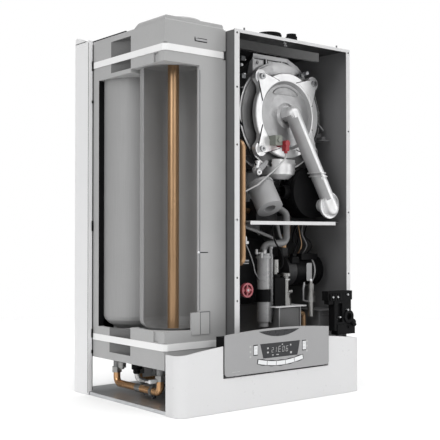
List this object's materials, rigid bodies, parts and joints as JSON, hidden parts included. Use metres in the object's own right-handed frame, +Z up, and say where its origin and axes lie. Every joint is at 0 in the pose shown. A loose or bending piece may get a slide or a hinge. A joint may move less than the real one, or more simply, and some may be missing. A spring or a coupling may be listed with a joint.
{
  "type": "wall-hung storage boiler with plate heat exchanger",
  "caption": "Wall-hung boiler without its case: foam-clad water tanks beside an open frame with burner, fan, pump and plate heat exchanger, above a fascia with a tilting control panel.",
  "frame": {"origin": "bottom centre of the bounding box", "axes": "+Z up, front faces -Y, +X to the right seen from the front, rear face towards the wall at +Y"},
  "size_m": [0.6, 0.47, 0.96],
  "materials": {
    "white_paint": "smooth satin powder coat",
    "inner_paint": "satin dark grey coat on the inner faces, white outside and on the flanges",
    "galvanised": "satin galvanised sheet",
    "fascia_plastic": "semi-gloss white plastic",
    "panel_grey": "fine satin grey",
    "dark_plastic": "satin black",
    "screen": "dark tinted display window",
    "badge": "blank dark badge",
    "button_white": "semi-gloss pale grey",
    "board": "printed circuit board",
    "foam": "fine moulded foam, matt grey",
    "strap": "white woven plastic strap",
    "stainless": "satin stainless steel",
    "copper": "satin copper tube",
    "brass": "nickel plated brass, satin",
    "cast_alloy": "bright die cast aluminium",
    "screw": "zinc plated",
    "ceramic": "grey green electrode body",
    "red_rubber": "soft dull red cap",
    "lead": "pale grey silicone lead",
    "grey_plastic": "moulded grey plastic",
    "red_plastic": "dull red plastic",
    "vessel_paint": "dark grey enamel",
    "cast_dark": "black coated casting"
  },
  "bodies": {
    "chassis": {"back_plate": "white_paint", "side_panel_left": "white_paint", "side_panel_right": "white_paint", "frame_left_panel": "inner_paint", "frame_right_panel": "inner_paint", "frame_top_panel": "inner_paint", "crossbar": "galvanised", "chamber_shelf": "white_paint", "bottom_plate": "galvanised", "fascia": "fascia_plastic", "cable_block": "dark_plastic", "tank_insulation_rear": "foam", "tank_insulation_front": "foam", "insulation_straps": "strap", "tank_rear": "stainless", "tank_front": "stainless", "draw_off_tube": "copper", "tank_unions": "brass", "tank_link_pipe": "copper", "exchanger_drum": "cast_alloy", "heat_coil": "stainless", "burner_head": "stainless", "burner_door": "cast_alloy", "door_screws": "screw", "mixture_duct": "cast_alloy", "electrode_block": "ceramic", "electrode_cap": "red_rubber", "ignition_lead": "lead", "sump_bowl": "cast_alloy", "condensate_sump": "dark_plastic", "flue_collar": "dark_plastic", "fan_housing": "dark_plastic", "air_silencer": "grey_plastic", "gas_valve": "cast_dark", "pump_body": "cast_dark", "pump_motor": "dark_plastic", "condensate_trap": "grey_plastic", "condensate_hose": "grey_plastic", "exchanger_plates": "stainless", "exchanger_end_plates": "stainless", "diverter_motor": "dark_plastic", "hydraulic_block": "brass", "pipe_tails": "brass", "copper_pipes": "copper", "expansion_vessel": "vessel_paint"},
    "control_panel": {"control_box": "dark_plastic", "control_cover": "panel_grey", "badge_plate": "badge", "display_window": "screen", "control_board": "board"},
    "fan_wheel": {"fan_impeller": "dark_plastic"},
    "pump_wheel": {"pump_impeller": "grey_plastic"},
    "relief_knob": {"relief_valve_knob": "red_plastic"},
    "button_1_key": {"button_1": "button_white"},
    "button_2_key": {"button_2": "button_white"},
    "button_3_key": {"button_3": "button_white"},
    "button_4_key": {"button_4": "button_white"},
    "button_5_key": {"button_5": "button_white"},
    "button_left_key": {"button_left": "button_white"},
    "button_right_key": {"button_right": "button_white"}
  },
  "joints": [
    {"name": "control_tilt", "type": "hinge", "parent": "chassis", "child": "control_panel", "pos_m": [0, -0.228, 0.084], "axis": [1, 0, 0], "range_deg": [0, 75]},
    {"name": "fan_spin", "type": "hinge", "parent": "chassis", "child": "fan_wheel", "pos_m": [0.215, -0.091, 0.526], "axis": [0, 1, 0], "continuous": true},
    {"name": "pump_spin", "type": "hinge", "parent": "chassis", "child": "pump_wheel", "pos_m": [0.19, -0.08, 0.315], "axis": [1, 0, 0], "continuous": true},
    {"name": "relief_turn", "type": "hinge", "parent": "chassis", "child": "relief_knob", "pos_m": [-0.045, -0.165, 0.275], "axis": [0, 1, 0], "range_deg": [0, 90]},
    {"name": "button_1_press", "type": "slide", "parent": "control_panel", "child": "button_1_key", "axis": [0, 1, 0], "range_m": [0, 0.0008], "stiffness_N_per_m": 400, "springref_m": -0.0015},
    {"name": "button_2_press", "type": "slide", "parent": "control_panel", "child": "button_2_key", "axis": [0, 1, 0], "range_m": [0, 0.0008], "stiffness_N_per_m": 400, "springref_m": -0.0015},
    {"name": "button_3_press", "type": "slide", "parent": "control_panel", "child": "button_3_key", "axis": [0, 1, 0], "range_m": [0, 0.0008], "stiffness_N_per_m": 400, "springref_m": -0.0015},
    {"name": "button_4_press", "type": "slide", "parent": "control_panel", "child": "button_4_key", "axis": [0, 1, 0], "range_m": [0, 0.0008], "stiffness_N_per_m": 400, "springref_m": -0.0015},
    {"name": "button_5_press", "type": "slide", "parent": "control_panel", "child": "button_5_key", "axis": [0, 1, 0], "range_m": [0, 0.0008], "stiffness_N_per_m": 400, "springref_m": -0.0015},
    {"name": "button_left_press", "type": "slide", "parent": "control_panel", "child": "button_left_key", "axis": [0, 1, 0], "range_m": [0, 0.0008], "stiffness_N_per_m": 400, "springref_m": -0.0015},
    {"name": "button_right_press", "type": "slide", "parent": "control_panel", "child": "button_right_key", "axis": [0, 1, 0], "range_m": [0, 0.0008], "stiffness_N_per_m": 400, "springref_m": -0.0015}
  ]
}
